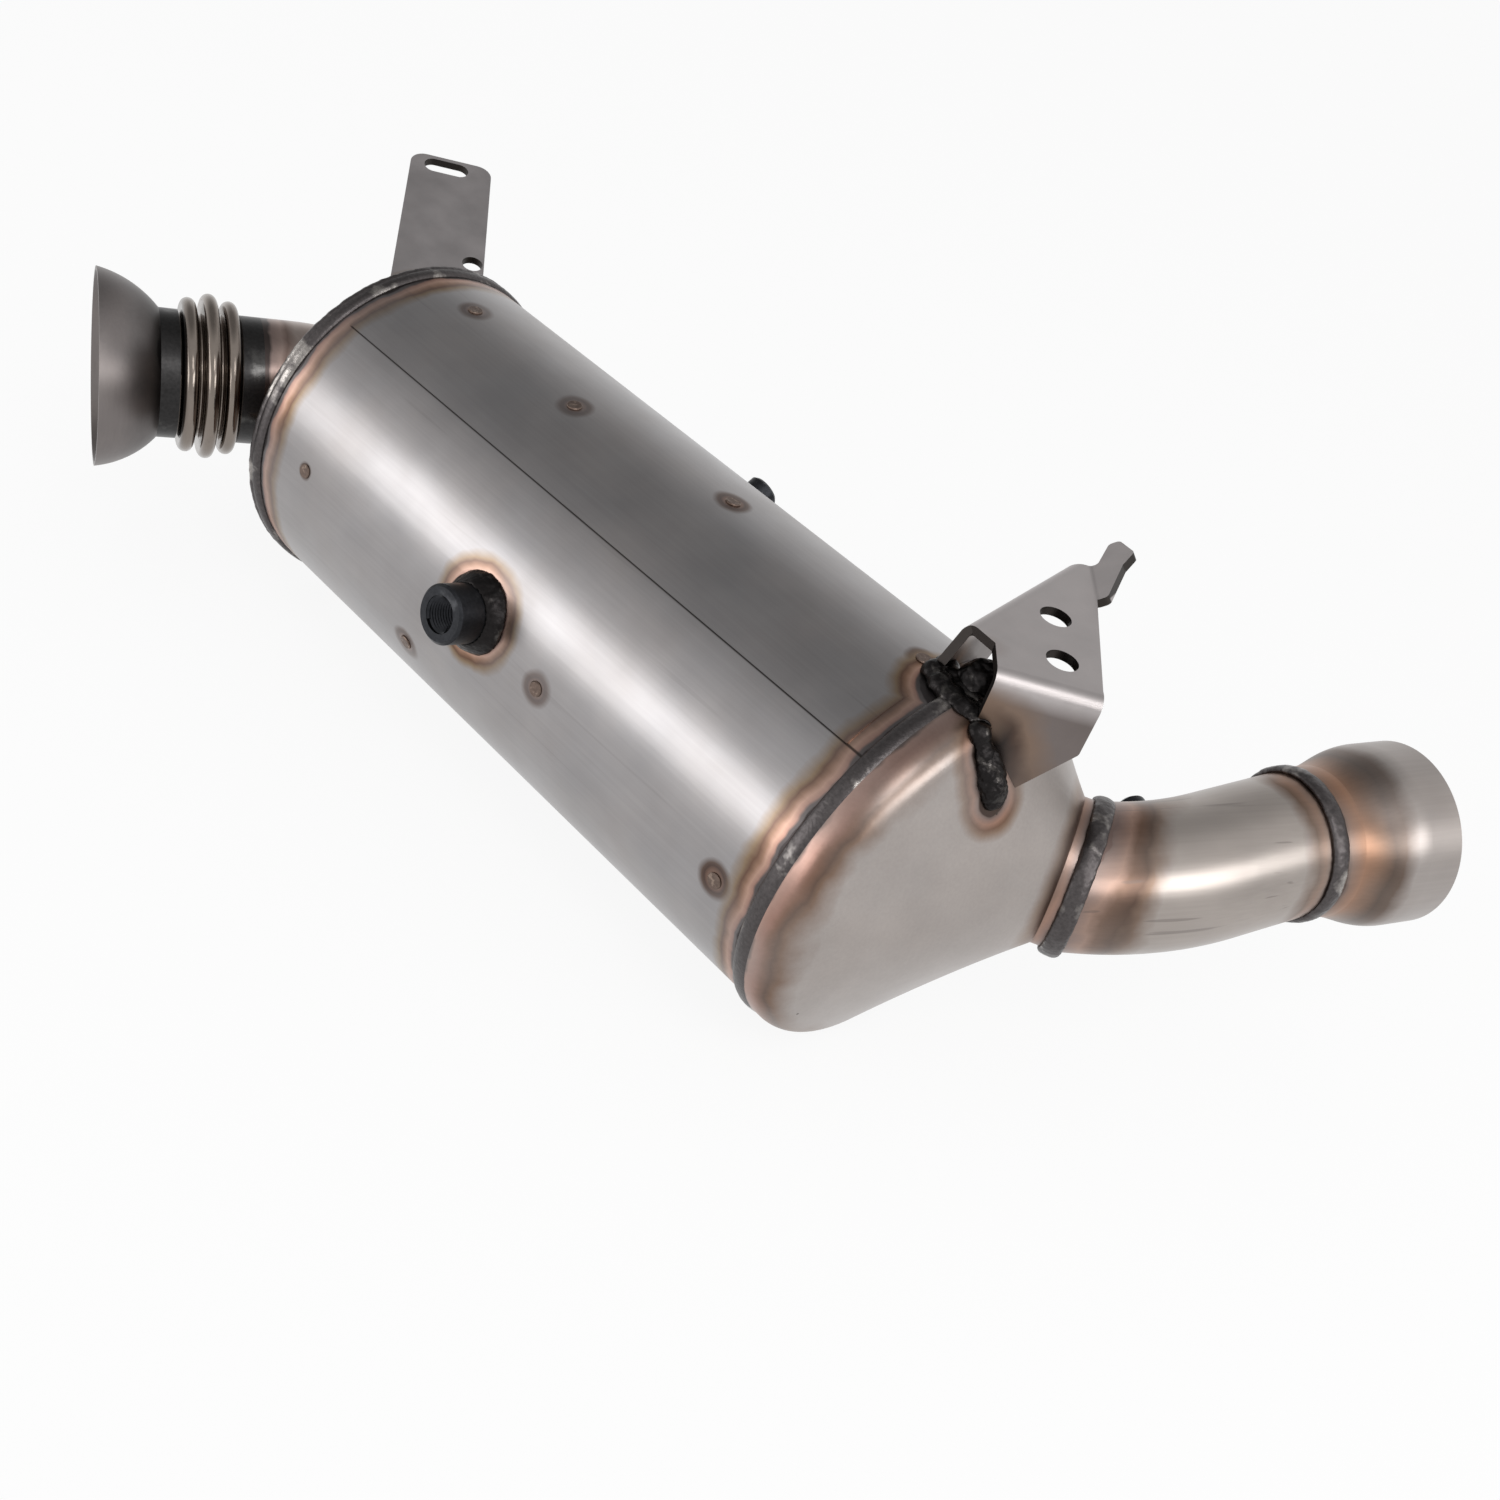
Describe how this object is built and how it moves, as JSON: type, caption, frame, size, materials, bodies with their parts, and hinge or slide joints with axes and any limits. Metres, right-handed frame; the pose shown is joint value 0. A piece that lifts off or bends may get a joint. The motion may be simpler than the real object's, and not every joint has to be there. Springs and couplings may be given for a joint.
{
  "type": "diesel particulate filter",
  "caption": "Welded exhaust filter canister with flexible bellows inlet, eccentric outlet cone, bent outlet pipe, sensor bosses and mounting brackets.",
  "frame": {"origin": "centre of the inlet joint's rim", "axes": "+X along the canister from inlet to outlet, +Z square to the rear bracket's plate, away from the canister, +Y to the side that the outlet pipe leaves on"},
  "size_m": [0.6568, 0.3593, 0.2091],
  "materials": {
    "shell_steel": "satin stainless sheet with heat tint next to the welds",
    "cone_steel": "satin stainless pressing, warm grey",
    "cap_steel": "satin stainless pressing",
    "pipe_steel": "satin stainless tube with straw and brown heat tint",
    "elbow_steel": "satin stainless tube with pinkish brown heat tint",
    "flare_steel": "satin stainless pressing with brown heat tint",
    "cup_steel": "satin stainless pressing, mid grey",
    "bellows_steel": "bright satin stainless",
    "collar_dark": "dark heat-blackened steel",
    "weld_bead": "dark grey weld metal with a few bright sparks",
    "boss_black": "black turned steel",
    "bracket_steel": "hot-rolled stainless plate, mid grey",
    "inner_steel": "plain stainless sheet",
    "brick_ceramic": "matt porous honeycomb ceramic",
    "fibre_mat": "ceramic fibre mat"
  },
  "bodies": {
    "root": {"bellows_liner": "inner_steel", "bracket_lower_weld": "weld_bead", "bracket_upper_weld": "weld_bead", "canister_shell": "shell_steel", "catalyst_mat": "fibre_mat", "catalyst_monolith": "brick_ceramic", "elbow_weld": "weld_bead", "filter_mat": "fibre_mat", "filter_monolith": "brick_ceramic", "flare_weld": "weld_bead", "flex_bellows": "bellows_steel", "front_boss_weld": "weld_bead", "front_collar": "collar_dark", "front_sensor_boss": "boss_black", "inlet_elbow": "elbow_steel", "inlet_end_cap": "cap_steel", "inlet_end_weld": "weld_bead", "inlet_flare": "cup_steel", "inlet_strap": "bracket_steel", "neck_weld": "weld_bead", "outlet_cone": "cone_steel", "outlet_end_weld": "weld_bead", "outlet_flare": "flare_steel", "outlet_pipe": "pipe_steel", "pipe_boss": "boss_black", "pipe_boss_weld": "weld_bead", "plug_welds": "weld_bead", "rear_boss_weld": "weld_bead", "rear_bracket": "bracket_steel", "rear_collar": "collar_dark", "rear_sensor_boss": "boss_black", "retaining_ring_1": "inner_steel", "retaining_ring_2": "inner_steel", "retaining_ring_3": "inner_steel", "retaining_ring_4": "inner_steel", "strap_weld": "weld_bead"}
  },
  "joints": []
}
